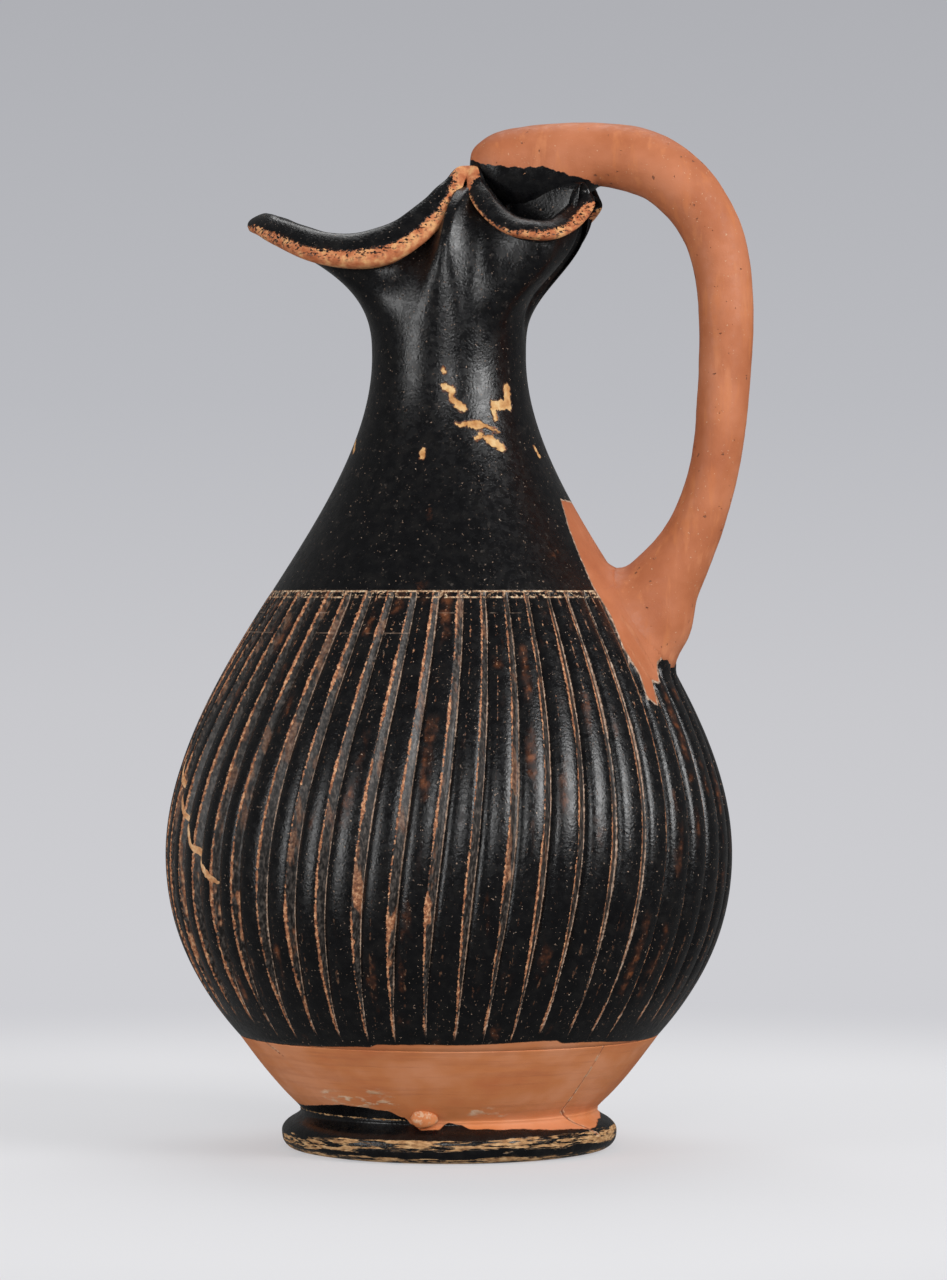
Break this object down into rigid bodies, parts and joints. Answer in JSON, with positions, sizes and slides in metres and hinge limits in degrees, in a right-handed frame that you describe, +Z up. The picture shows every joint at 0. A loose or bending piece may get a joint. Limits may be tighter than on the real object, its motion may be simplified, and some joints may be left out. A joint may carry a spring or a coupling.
{
  "type": "oinochoe jug",
  "caption": "Greek black-gloss wine jug with a ribbed belly, a trefoil mouth with a long spout, a torus foot and a restored high-swung handle.",
  "frame": {"origin": "centre of the foot ring, on the plane that the jug stands on", "axes": "+Z up along the wheel axis, -X towards the spout, +X towards the handle"},
  "size_m": [0.1181, 0.1132, 0.2044],
  "materials": {
    "black_gloss": "gloss",
    "bare_clay": "matt",
    "new_terracotta": "matt",
    "light_fill": "matt"
  },
  "bodies": {
    "root": {"foot_ring": "bare_clay", "lower_body": "bare_clay", "ribbed_belly": "black_gloss", "shoulder_neck": "black_gloss", "trefoil_mouth": "black_gloss", "handle_stub": "black_gloss", "restored_handle": "new_terracotta", "shoulder_patch": "new_terracotta", "crack_fill": "light_fill", "clay_pellet": "bare_clay"}
  },
  "joints": []
}
